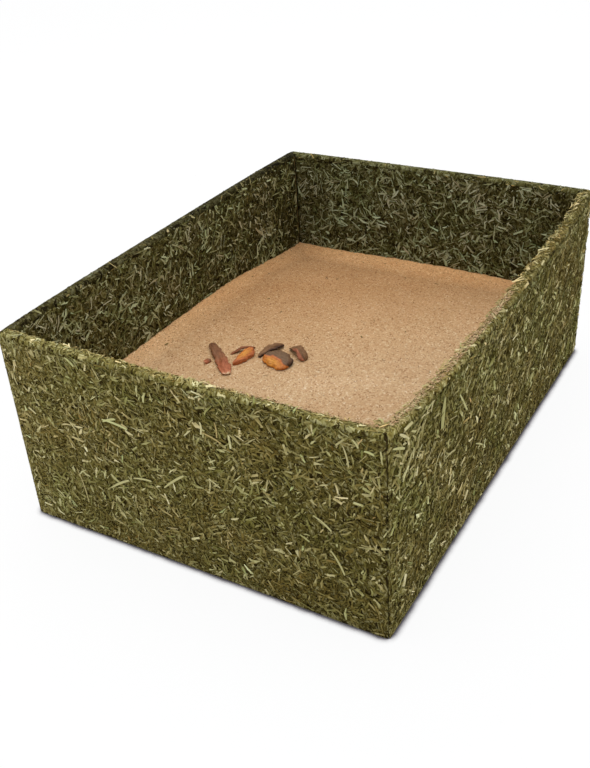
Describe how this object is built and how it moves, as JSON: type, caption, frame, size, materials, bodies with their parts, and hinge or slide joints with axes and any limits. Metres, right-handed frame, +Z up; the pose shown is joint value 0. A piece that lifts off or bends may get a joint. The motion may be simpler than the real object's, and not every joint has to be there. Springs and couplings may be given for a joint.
{
  "type": "small animal digging box",
  "caption": "Open rectangular box of hay-faced boards, filled with digging sand and scattered with loose dried root treats, for a rabbit or rodent to dig in.",
  "frame": {"origin": "on the ground, in the middle of the box's footprint", "axes": "+X along the long side, +Y along the short side, +Z up, out of the box's open top"},
  "size_m": [0.385, 0.28, 0.148],
  "materials": {
    "pressed_hay": "matte",
    "rim_hay": "matte",
    "floor_hay": "matte",
    "core_board": "matte",
    "dried_glue": "satin",
    "digging_sand": "matte",
    "reddish_root": "matte",
    "orange_root": "satin",
    "dark_root_peel": "matte"
  },
  "bodies": {
    "box": {"back_rim_hay": "rim_hay", "back_wall_core": "core_board", "back_wall_inner_hay": "pressed_hay", "back_wall_outer_hay": "pressed_hay", "corner_glue_back_left": "dried_glue", "corner_glue_back_right": "dried_glue", "corner_glue_front_left": "dried_glue", "corner_glue_front_right": "dried_glue", "floor_core": "core_board", "floor_glue": "dried_glue", "floor_top_hay": "floor_hay", "floor_underside_hay": "floor_hay", "front_rim_hay": "rim_hay", "front_wall_core": "core_board", "front_wall_inner_hay": "pressed_hay", "front_wall_outer_hay": "pressed_hay", "left_rim_hay": "rim_hay", "left_wall_core": "core_board", "left_wall_inner_hay": "pressed_hay", "left_wall_outer_hay": "pressed_hay", "right_rim_hay": "rim_hay", "right_wall_core": "core_board", "right_wall_inner_hay": "pressed_hay", "right_wall_outer_hay": "pressed_hay", "sand_fill": "digging_sand"},
    "long_root_strip": {"long_root_strip": "reddish_root"},
    "root_stub": {"root_stub": "reddish_root"},
    "thin_root_curl": {"thin_root_curl": "dark_root_peel"},
    "root_wedge": {"root_wedge": "orange_root"},
    "dark_root_strip": {"dark_root_strip": "dark_root_peel"},
    "root_end_slice": {"root_end_slice": "orange_root"},
    "bent_root_curl": {"bent_root_curl": "dark_root_peel"}
  },
  "joints": [
    {"name": "long_root_strip_lift", "type": "slide", "parent": "box", "child": "long_root_strip", "axis": [0, 0, 1], "range_m": [0, 0.09]},
    {"name": "root_stub_lift", "type": "slide", "parent": "box", "child": "root_stub", "axis": [0, 0, 1], "range_m": [0, 0.09]},
    {"name": "thin_root_curl_lift", "type": "slide", "parent": "box", "child": "thin_root_curl", "axis": [0, 0, 1], "range_m": [0, 0.09]},
    {"name": "root_wedge_lift", "type": "slide", "parent": "box", "child": "root_wedge", "axis": [0, 0, 1], "range_m": [0, 0.09]},
    {"name": "dark_root_strip_lift", "type": "slide", "parent": "box", "child": "dark_root_strip", "axis": [0, 0, 1], "range_m": [0, 0.09]},
    {"name": "root_end_slice_lift", "type": "slide", "parent": "box", "child": "root_end_slice", "axis": [0, 0, 1], "range_m": [0, 0.09]},
    {"name": "bent_root_curl_lift", "type": "slide", "parent": "box", "child": "bent_root_curl", "axis": [0, 0, 1], "range_m": [0, 0.09]}
  ]
}
